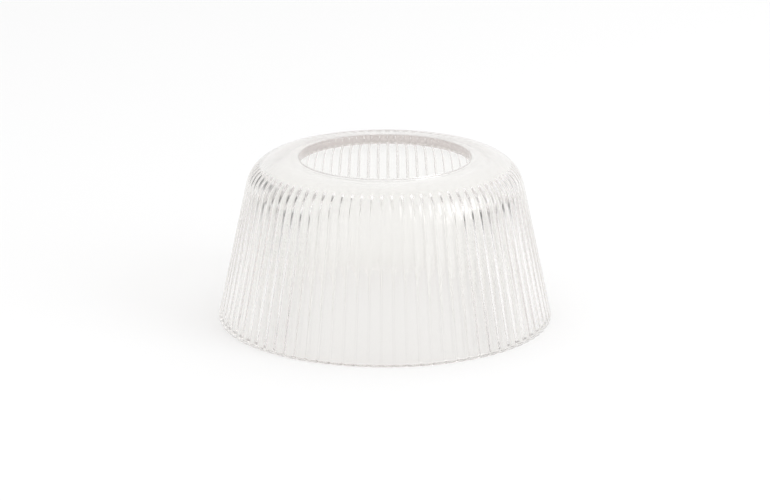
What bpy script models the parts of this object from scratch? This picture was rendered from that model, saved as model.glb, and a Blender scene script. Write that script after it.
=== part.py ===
"""A clear pressed-glass lamp shade, which is one single piece of glass.

A reeded wall stands on its open foot and leans in to a rounded shoulder, where the reeds run
out. A smooth flat ring closes the top, around the hole that a lamp's carrier goes through.
"""

import math

import bpy
from mathutils import Vector

# Driving dimensions, in metres. Outer sizes are taken over the crests of the reeds.
FOOT_RADIUS = 0.088
HEIGHT = 0.0863
HOLE_RADIUS = 0.0448
GLASS_THICKNESS = 0.005
WALL_LEAN = 0.217  # how far the wall leans in for each unit that it rises
SHOULDER_RADIUS = 0.0185
INNER_SHOULDER_RADIUS = 0.0185

REED_COUNT = 84
REED_DEPTH = 0.0012
CREST_FLATNESS = 3  # the power that the depth grows by, from the crest to the valley
REED_START = math.radians(35)  # on the shoulder, from straight up: no reed above this
REED_FULL = math.radians(42)  # and the full depth below this

# How finely the shape is cut.
STEPS_PER_REED = 4
OUTER_ARC_STEPS = 5
INNER_ARC_STEPS = 4

# What follows from them.
LEAN = math.atan(WALL_LEAN)
SHOULDER_Z = HEIGHT - SHOULDER_RADIUS
SHOULDER_X = FOOT_RADIUS - SHOULDER_Z * WALL_LEAN - SHOULDER_RADIUS / math.cos(LEAN)
SHOULDER_TURN = math.pi / 2 - LEAN
INNER_FOOT_RADIUS = FOOT_RADIUS - GLASS_THICKNESS / math.cos(LEAN)
CEILING = HEIGHT - GLASS_THICKNESS
INNER_Z = CEILING - INNER_SHOULDER_RADIUS
INNER_X = INNER_FOOT_RADIUS - INNER_Z * WALL_LEAN - INNER_SHOULDER_RADIUS / math.cos(LEAN)
REED_GROUP = "reeds"


def clear_scene():
    for thing in list(bpy.data.objects):
        bpy.data.objects.remove(thing, do_unlink=True)


def make_collection(name):
    collection = bpy.data.collections.new(name)
    bpy.context.scene.collection.children.link(collection)
    return collection


def clear_glass():
    """Colourless pressed glass, with the shine of a fire-polished surface."""
    material = bpy.data.materials.new("clear_glass")
    material.use_nodes = True
    shader = material.node_tree.nodes["Principled BSDF"]
    shader.inputs["Base Color"].default_value = (0.96, 0.96, 0.95, 1)
    shader.inputs["Roughness"].default_value = 0.02
    shader.inputs["Metallic"].default_value = 0
    shader.inputs["IOR"].default_value = 1.5
    shader.inputs["Transmission Weight"].default_value = 1
    return material


def shoulder_arc(centre_x, centre_z, radius, steps):
    """Points on an arc from its top down to the wall, each with its turn from straight up."""
    turns = [SHOULDER_TURN * step / steps for step in range(steps + 1)]
    return [
        (centre_x + radius * math.sin(turn), centre_z + radius * math.cos(turn), turn)
        for turn in turns
    ]


def reed_share(turn):
    """How much of the full depth the reeds have at this turn of the shoulder."""
    share = (turn - REED_START) / (REED_FULL - REED_START)
    return min(max(share, 0), 1)


def shade_profile():
    """The closed section as (radius, height, share of the reeds' depth), down the outside first."""
    outer = shoulder_arc(SHOULDER_X, SHOULDER_Z, SHOULDER_RADIUS, OUTER_ARC_STEPS)
    inner = shoulder_arc(INNER_X, INNER_Z, INNER_SHOULDER_RADIUS, INNER_ARC_STEPS)
    return [
        (HOLE_RADIUS, HEIGHT, 0),
        *[(x, z, reed_share(turn)) for x, z, turn in outer],
        (FOOT_RADIUS, 0, 1),
        (INNER_FOOT_RADIUS, 0, 0),
        *[(x, z, 0) for x, z, _ in reversed(inner)],
        (HOLE_RADIUS, CEILING, 0),
    ]


def turn_profile(name, profile):
    """Turns the section about +Z with a Screw, carrying each point's reed share round with it."""
    count = len(profile)
    mesh = bpy.data.meshes.new(name + "_section")
    points = [(x, 0, z) for x, z, _ in profile]
    mesh.from_pydata(points, [(i, (i + 1) % count) for i in range(count)], [])
    section = bpy.data.objects.new(name + "_section", mesh)
    bpy.context.scene.collection.objects.link(section)

    group = section.vertex_groups.new(name=REED_GROUP)
    for i, (_, _, share) in enumerate(profile):
        group.add([i], share, "REPLACE")

    screw = section.modifiers.new("Turn", "SCREW")
    screw.axis = "Z"
    screw.angle = 2 * math.pi
    screw.steps = REED_COUNT * STEPS_PER_REED
    screw.render_steps = screw.steps
    screw.use_merge_vertices = True
    screw.merge_threshold = 0.00001
    screw.use_smooth_shade = True

    graph = bpy.context.evaluated_depsgraph_get()
    turned = bpy.data.meshes.new_from_object(section.evaluated_get(graph))
    turned.name = name
    bpy.data.objects.remove(section, do_unlink=True)
    bpy.data.meshes.remove(mesh)
    return turned


def cut_reeds(mesh):
    """Presses the outer skin in between the crests, so that each reed is a convex rib.

    A point moves level towards the axis on the wall, and towards the centre of the
    shoulder's arc on the shoulder. Both agree where they meet.
    """
    for vertex in mesh.vertices:
        share = vertex.groups[0].weight if vertex.groups else 0
        if share == 0:
            continue
        radius = math.hypot(vertex.co.x, vertex.co.y)
        angle = math.atan2(vertex.co.y, vertex.co.x)
        across = 2 * ((angle * REED_COUNT / (2 * math.pi)) % 1) - 1
        depth = REED_DEPTH * share * abs(across) ** CREST_FLATNESS
        spine = Vector((SHOULDER_X, min(vertex.co.z, SHOULDER_Z)))
        moved = Vector((radius, vertex.co.z))
        moved += depth * (spine - moved).normalized()
        vertex.co = (moved.x * math.cos(angle), moved.x * math.sin(angle), moved.y)
    mesh.update()


def make_glass_shade(collection):
    mesh = turn_profile("glass_shade", shade_profile())
    cut_reeds(mesh)
    mesh.shade_smooth()
    mesh.set_sharp_from_angle(angle=math.radians(35))
    mesh.materials.append(clear_glass())
    shade = bpy.data.objects.new("glass_shade", mesh)
    collection.objects.link(shade)
    return shade


clear_scene()
make_glass_shade(make_collection("reeded_glass_shade"))
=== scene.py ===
"""The looks of a clear pressed-glass lamp shade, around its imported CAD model.

The shade is one piece of glass. The fine skin made here stands for the CAD solid: it has the
same section and the same reeds, with their rounded valleys, a rounded foot and rounded edges
at the hole.
"""

import math

import bpy
import numpy as np
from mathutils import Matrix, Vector


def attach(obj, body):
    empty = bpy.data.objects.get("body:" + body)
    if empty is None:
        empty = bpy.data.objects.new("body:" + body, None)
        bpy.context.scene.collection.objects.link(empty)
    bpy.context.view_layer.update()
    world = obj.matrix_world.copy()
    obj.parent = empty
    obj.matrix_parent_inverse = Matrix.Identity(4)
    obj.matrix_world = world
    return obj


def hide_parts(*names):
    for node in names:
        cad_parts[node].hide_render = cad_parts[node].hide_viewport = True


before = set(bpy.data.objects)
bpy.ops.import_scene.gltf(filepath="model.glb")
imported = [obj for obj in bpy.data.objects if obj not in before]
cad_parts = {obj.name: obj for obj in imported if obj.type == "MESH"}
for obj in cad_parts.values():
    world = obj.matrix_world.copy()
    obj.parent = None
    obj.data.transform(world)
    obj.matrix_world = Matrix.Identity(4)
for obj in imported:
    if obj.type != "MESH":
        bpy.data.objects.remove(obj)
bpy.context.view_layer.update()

# The shade's section, in metres. Its outer sizes are measured on the frame.
RING_GLASS = 0.005  # how thick the glass is in the ring
WALL_GLASS = 0.005  # and in the wall
WALL_LEAN = 0.217  # how far the wall leans in for each unit that it rises
SHOULDER_RADIUS = 0.0185
INNER_SHOULDER_RADIUS = 0.0185
HOLE_EDGE_RADIUS = 0.0006
FOOT_EDGE_RADIUS = 0.0009

# The reeds. A place across a reed goes from 0 on its crest to 1 in the valley.
REED_COUNT = 84
REED_DEPTH = 0.0012
REED_START = math.radians(35)  # on the shoulder, from straight up: no reed above this
REED_FULL = math.radians(42)  # and the full depth below this
CREST_END = 0.65  # up to here the crest is gently crowned
FLANK_START = 0.8  # from here the flank keeps its slope
VALLEY_START = 0.9  # from here it rounds out into the valley
CREST_SLOPE = 0.25  # at the crest's end, as a share of the flank's slope

# How finely the skin is cut.
ACROSS_REED = (0, 0.2, 0.4, 0.55, 0.65, 0.7, 0.75, 0.8, 0.85, 0.9, 0.93, 0.96, 0.98, 1)
REED_SAMPLES = 2001
SHOULDER_STEPS = 40
INNER_SHOULDER_STEPS = 24
WALL_STEPS = 12
RING_STEPS = 4
EDGE_STEPS = 4
FOOT_STEPS = 6

# The glass takes up this much light per metre: red, green, blue.
ABSORPTION = (1.2, 1.72, 1.86)
REFRACTIVE_INDEX = 1.5

# Fire polish leaves the skin soft and a little uneven: patches and waves per metre, how rough
# the patches are, and the waves' height in metres.
POLISH_SCALE = 70
POLISH_LOW = 0.11
POLISH_HIGH = 0.14
POLISH_SPREAD = (0.3, 0.7)  # the noise from which the roughness starts and stops growing
WAVE_SCALE = 45
WAVE_HEIGHT = 0.00008

# The camera: its angles in degrees, its distance and its target's height in foot radii, and its
# lens and sensor in millimetres.
CAMERA_AZIMUTH = 1.3
CAMERA_ELEVATION = 16.615
CAMERA_DISTANCE = 15.687
CAMERA_TARGET_HEIGHT = 0.39975
CAMERA_LENS = 122.77
CAMERA_SENSOR = 36

# The studio: brightness of the surroundings, and the key light in metres and watts.
WORLD_LOW = 1.05
WORLD_HIGH = 1.09
WORLD_TOP = 0.6  # the height, on a unit ball, from which the studio is at its brightest
WORLD_LEFT = 0.95
WORLD_RIGHT = 1.03
WORLD_FRONT = 1.03
WORLD_BACK = 0.99
KEY_PLACE = (2.55, -1.41, 1.6)
KEY_SIZE = 2
KEY_POWER = 50
# Soft dark flags round the shade, which the reeds show as dark streaks. Each has its
# azimuth from the front and its elevation, and the angles from its middle to the end of its
# dark core and to its outer edge, in degrees. The last is how much of the light is left.
FLAGS = (
    (84, 2, 18, 30, 0.1),
    (124, 18, 10, 20, 0.5),
    (-88, 2, 14, 26, 0.3),
    (-124, 20, 11, 20, 0.15),
)
FLOOR_ALBEDO = 0.845
FLOOR_SIZE = 12
FLOOR_ROUGHNESS = 0.9

# The glass as lamps see it: how much passes through each face, with no bending.
LAMP_PASS = (0.915, 0.91, 0.905)
GLASS_TINT = (0.966, 0.964, 0.95)


def frame_sizes(node):
    """The foot's radius, the height and the hole's radius of the CAD node."""
    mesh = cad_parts[node].data
    points = np.empty(len(mesh.vertices) * 3)
    mesh.vertices.foreach_get("co", points)
    x, y, z = points.reshape(-1, 3).T
    radii = np.hypot(x, y)
    return radii.max(), z.max(), radii.min()


FOOT_RADIUS, HEIGHT, HOLE_RADIUS = frame_sizes("glass_shade")
LEAN = math.atan(WALL_LEAN)
WALL_TURN = math.pi / 2 - LEAN  # the wall's outward normal, turned from straight up
SHOULDER_Z = HEIGHT - SHOULDER_RADIUS
SHOULDER_X = FOOT_RADIUS - SHOULDER_Z * WALL_LEAN - SHOULDER_RADIUS / math.cos(LEAN)


def smooth(value):
    """0 below 0, 1 above 1, and an even ease between."""
    value = min(max(value, 0), 1)
    return value * value * (3 - 2 * value)


def arc(centre, radius, start, end, steps):
    """Points round centre, by their turn from straight up, and the turn of each."""
    turns = np.linspace(start, end, steps + 1)
    return [
        (centre[0] + radius * math.sin(turn), centre[1] + radius * math.cos(turn), turn)
        for turn in turns
    ]


def between(start, end, steps):
    """The points that cut the line from start to end in equal steps, without its ends."""
    return [
        tuple(a + (b - a) * step / steps for a, b in zip(start, end))
        for step in range(1, steps)
    ]


def reed_share(turn):
    """How much of the full depth the reeds have at this turn of the shoulder."""
    return smooth((turn - REED_START) / (REED_FULL - REED_START))


def outer_section():
    """The outside from the hole's edge down to the foot, as (radius, height, reed share)."""
    edge = arc(
        (HOLE_RADIUS + HOLE_EDGE_RADIUS, HEIGHT - HOLE_EDGE_RADIUS),
        HOLE_EDGE_RADIUS, -math.pi / 2, 0, EDGE_STEPS,
    )
    shoulder = arc((SHOULDER_X, SHOULDER_Z), SHOULDER_RADIUS, 0, WALL_TURN, SHOULDER_STEPS)
    foot_x = FOOT_RADIUS - FOOT_EDGE_RADIUS * (WALL_LEAN + 1 / math.cos(LEAN))
    foot = arc((foot_x, FOOT_EDGE_RADIUS), FOOT_EDGE_RADIUS, WALL_TURN, math.pi, FOOT_STEPS)
    ring = between(edge[-1][:2], shoulder[0][:2], RING_STEPS)
    wall = between(shoulder[-1][:2], foot[0][:2], WALL_STEPS)
    return (
        [(x, z, 0) for x, z, _ in edge]
        + [(x, z, 0) for x, z in ring]
        + [(x, z, reed_share(turn)) for x, z, turn in shoulder]
        + [(x, z, 1) for x, z in wall]
        + [(x, z, 1) for x, z, _ in foot]
    )


def inner_section():
    """The smooth inside, from the foot back up to the hole's lower edge."""
    inner_foot = FOOT_RADIUS - WALL_GLASS / math.cos(LEAN)
    foot_x = inner_foot + FOOT_EDGE_RADIUS * (1 / math.cos(LEAN) - WALL_LEAN)
    foot = arc(
        (foot_x, FOOT_EDGE_RADIUS), FOOT_EDGE_RADIUS,
        math.pi, math.pi + WALL_TURN + 2 * LEAN, FOOT_STEPS,
    )
    centre_z = HEIGHT - RING_GLASS - INNER_SHOULDER_RADIUS
    centre_x = inner_foot - centre_z * WALL_LEAN - INNER_SHOULDER_RADIUS / math.cos(LEAN)
    shoulder = arc(
        (centre_x, centre_z), INNER_SHOULDER_RADIUS, WALL_TURN, 0, INNER_SHOULDER_STEPS,
    )
    edge = arc(
        (HOLE_RADIUS + HOLE_EDGE_RADIUS, HEIGHT - RING_GLASS + HOLE_EDGE_RADIUS),
        HOLE_EDGE_RADIUS, math.pi, 1.5 * math.pi, EDGE_STEPS,
    )
    wall = between(foot[-1][:2], shoulder[0][:2], WALL_STEPS)
    ring = between(shoulder[-1][:2], edge[0][:2], RING_STEPS)
    hole = between(edge[-1][:2], (HOLE_RADIUS, HEIGHT - HOLE_EDGE_RADIUS), RING_STEPS)
    points = [p[:2] for p in foot] + wall + [p[:2] for p in shoulder] + ring
    points += [p[:2] for p in edge] + hole
    return [(x, z, 0) for x, z in points]


def reed_depths(places):
    """How deep the skin lies below the crest at each place, as a share of the full depth."""
    fine = np.linspace(0, 1, REED_SAMPLES)
    flank = np.array([smooth((t - CREST_END) / (FLANK_START - CREST_END)) for t in fine])
    slope = flank + CREST_SLOPE * np.minimum(fine / CREST_END, 1) * (1 - flank)
    slope *= np.minimum((1 - fine) / (1 - VALLEY_START), 1)
    depth = np.concatenate([[0], np.cumsum((slope[1:] + slope[:-1]) / 2)])
    return np.interp(np.abs(places), fine, depth / depth[-1])


def make_shade():
    """The closed skin of the shade, as rings of points round its section."""
    section = np.array(outer_section() + inner_section())
    radius, height, share = section.T
    half = np.array(ACROSS_REED)
    places = np.concatenate([-half[::-1], half[1:-1]])
    start = np.arange(REED_COUNT)[:, None] + (places + 1) / 2
    angles = (start * 2 * math.pi / REED_COUNT).ravel()
    depths = np.tile(reed_depths(places), REED_COUNT)

    # A reed is pressed in towards the shoulder's centre, or level towards the axis on the wall.
    inward = np.stack([SHOULDER_X - radius, np.minimum(height, SHOULDER_Z) - height])
    inward /= np.hypot(*inward)
    pressed = REED_DEPTH * share[:, None] * depths
    ring_radius = radius[:, None] + pressed * inward[0][:, None]
    ring_height = height[:, None] + pressed * inward[1][:, None]
    points = np.stack(
        [ring_radius * np.cos(angles), ring_radius * np.sin(angles), ring_height], axis=-1
    )

    rows, columns = len(section), len(angles)
    row, column = np.arange(rows)[:, None], np.arange(columns)
    next_row, next_column = (row + 1) % rows, (column + 1) % columns
    faces = np.stack(
        [
            row * columns + column,
            next_row * columns + column,
            next_row * columns + next_column,
            row * columns + next_column,
        ],
        axis=-1,
    ).reshape(-1, 4)

    mesh = bpy.data.meshes.new("glass_shade_fine")
    mesh.from_pydata(points.reshape(-1, 3).tolist(), [], faces.tolist())
    mesh.shade_smooth()
    shade = bpy.data.objects.new("glass_shade_fine", mesh)
    bpy.context.scene.collection.objects.link(shade)
    return shade


def ramp(nodes, links, value, start, end, low, high):
    """Eases from low to high as value goes from start to end."""
    node = nodes.new("ShaderNodeMapRange")
    node.interpolation_type = "SMOOTHSTEP"
    limits = {"From Min": start, "From Max": end, "To Min": low, "To Max": high}
    for name, limit in limits.items():
        node.inputs[name].default_value = limit
    links.new(value, node.inputs["Value"])
    return node.outputs["Result"]


def multiply(nodes, links, values):
    """The product of all the values."""
    result = values[0]
    for value in values[1:]:
        product = nodes.new("ShaderNodeMath")
        product.operation = "MULTIPLY"
        links.new(result, product.inputs[0])
        links.new(value, product.inputs[1])
        result = product.outputs["Value"]
    return result


def noise(nodes, links, scale):
    """Soft noise through the piece, with about this many patches per metre."""
    node = nodes.new("ShaderNodeTexNoise")
    node.inputs["Scale"].default_value = scale
    node.inputs["Detail"].default_value = 1
    links.new(nodes.new("ShaderNodeTexCoord").outputs["Object"], node.inputs["Vector"])
    return node.outputs["Fac"]


def clear_glass():
    """Pressed glass: clear, with a fire-polished skin, and see-through for lamps."""
    material = bpy.data.materials.new("clear_pressed_glass")
    material.use_nodes = True
    nodes, links = material.node_tree.nodes, material.node_tree.links
    glass = nodes["Principled BSDF"]
    glass.inputs["Base Color"].default_value = (*GLASS_TINT, 1)
    glass.inputs["IOR"].default_value = REFRACTIVE_INDEX
    glass.inputs["Transmission Weight"].default_value = 1

    patches = noise(nodes, links, POLISH_SCALE)
    polish = ramp(nodes, links, patches, *POLISH_SPREAD, POLISH_LOW, POLISH_HIGH)
    links.new(polish, glass.inputs["Roughness"])
    waves = nodes.new("ShaderNodeBump")
    waves.inputs["Distance"].default_value = WAVE_HEIGHT
    links.new(noise(nodes, links, WAVE_SCALE), waves.inputs["Height"])
    links.new(waves.outputs["Normal"], glass.inputs["Normal"])

    straight = nodes.new("ShaderNodeBsdfTransparent")
    straight.inputs["Color"].default_value = (*LAMP_PASS, 1)
    path = nodes.new("ShaderNodeLightPath")
    shader = glass.outputs["BSDF"]
    for ray in ("Is Diffuse Ray", "Is Shadow Ray"):
        mix = nodes.new("ShaderNodeMixShader")
        links.new(path.outputs[ray], mix.inputs["Fac"])
        links.new(shader, mix.inputs[1])
        links.new(straight.outputs["BSDF"], mix.inputs[2])
        shader = mix.outputs["Shader"]
    output = nodes["Material Output"]
    links.new(shader, output.inputs["Surface"])

    absorb = nodes.new("ShaderNodeVolumeAbsorption")
    most = max(ABSORPTION)
    absorb.inputs["Color"].default_value = (*[1 - a / most for a in ABSORPTION], 1)
    absorb.inputs["Density"].default_value = most
    links.new(absorb.outputs["Volume"], output.inputs["Volume"])
    return material


def make_floor():
    bpy.ops.mesh.primitive_plane_add(size=FLOOR_SIZE)
    floor = bpy.context.object
    floor.name = "studio_floor"
    material = bpy.data.materials.new("pale_floor")
    material.use_nodes = True
    shader = material.node_tree.nodes["Principled BSDF"]
    shader.inputs["Base Color"].default_value = (FLOOR_ALBEDO, FLOOR_ALBEDO, FLOOR_ALBEDO, 1)
    shader.inputs["Roughness"].default_value = FLOOR_ROUGHNESS
    shader.inputs["Specular IOR Level"].default_value = 0
    floor.data.materials.append(material)
    return floor


def facing(azimuth, elevation):
    """The unit vector from the shade to this azimuth from the front, and elevation, in degrees."""
    azimuth, elevation = math.radians(azimuth), math.radians(elevation)
    level = math.cos(elevation)
    return Vector((level * math.sin(azimuth), -level * math.cos(azimuth), math.sin(elevation)))


def make_camera():
    away = facing(CAMERA_AZIMUTH, CAMERA_ELEVATION)
    data = bpy.data.cameras.new("camera")
    data.sensor_width = CAMERA_SENSOR
    data.lens = CAMERA_LENS
    camera = bpy.data.objects.new("camera", data)
    camera.location = Vector((0, 0, CAMERA_TARGET_HEIGHT * FOOT_RADIUS))
    camera.location += away * CAMERA_DISTANCE * FOOT_RADIUS
    camera.rotation_euler = (-away).to_track_quat("-Z", "Y").to_euler()
    bpy.context.scene.collection.objects.link(camera)
    bpy.context.scene.camera = camera


def make_world():
    """A white studio all round: brighter overhead and on the right, with the dark flags."""
    world = bpy.data.worlds.new("studio")
    bpy.context.scene.world = world
    world.use_nodes = True
    nodes, links = world.node_tree.nodes, world.node_tree.links
    background = nodes["Background"]
    background.inputs["Color"].default_value = (1, 1, 1, 1)
    direction = nodes.new("ShaderNodeTexCoord").outputs["Generated"]
    axes = nodes.new("ShaderNodeSeparateXYZ")
    links.new(direction, axes.inputs["Vector"])
    parts = [ramp(nodes, links, axes.outputs["Z"], 0, WORLD_TOP, WORLD_LOW, WORLD_HIGH)]
    parts.append(ramp(nodes, links, axes.outputs["X"], -1, 1, WORLD_LEFT, WORLD_RIGHT))
    parts.append(ramp(nodes, links, axes.outputs["Y"], -1, 1, WORLD_FRONT, WORLD_BACK))
    plain = multiply(nodes, links, parts)
    parts = [plain]
    for azimuth, elevation, core, edge, left in FLAGS:
        towards = nodes.new("ShaderNodeVectorMath")
        towards.operation = "DOT_PRODUCT"
        towards.inputs[1].default_value = facing(azimuth, elevation)
        links.new(direction, towards.inputs[0])
        edge, core = math.cos(math.radians(edge)), math.cos(math.radians(core))
        parts.append(ramp(nodes, links, towards.outputs["Value"], edge, core, 1, left))

    # A flag behind the shade isn't seen as a dark backdrop: only the shade and the floor see it.
    seen = nodes.new("ShaderNodeMix")
    links.new(nodes.new("ShaderNodeLightPath").outputs["Is Camera Ray"], seen.inputs["Factor"])
    links.new(multiply(nodes, links, parts), seen.inputs["A"])
    links.new(plain, seen.inputs["B"])
    links.new(seen.outputs["Result"], background.inputs["Strength"])


def make_key():
    """A soft box on the right, in front, that throws the shade's pale shadow to the left."""
    data = bpy.data.lights.new("key", "AREA")
    data.shape = "RECTANGLE"
    data.size = data.size_y = KEY_SIZE
    data.energy = KEY_POWER
    key = bpy.data.objects.new("key", data)
    key.location = KEY_PLACE
    aim = Vector((0, 0, HEIGHT / 2)) - key.location
    key.rotation_euler = aim.to_track_quat("-Z", "Y").to_euler()
    bpy.context.scene.collection.objects.link(key)


shade = make_shade()
shade.data.materials.append(clear_glass())
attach(shade, "root")
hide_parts("glass_shade")

make_floor()
make_camera()
make_world()
make_key()

settings = bpy.context.scene
settings.view_settings.view_transform = "Standard"
settings.view_settings.look = "None"
settings.cycles.max_bounces = 32
settings.cycles.transmission_bounces = 32
settings.cycles.glossy_bounces = 16
settings.cycles.transparent_max_bounces = 32
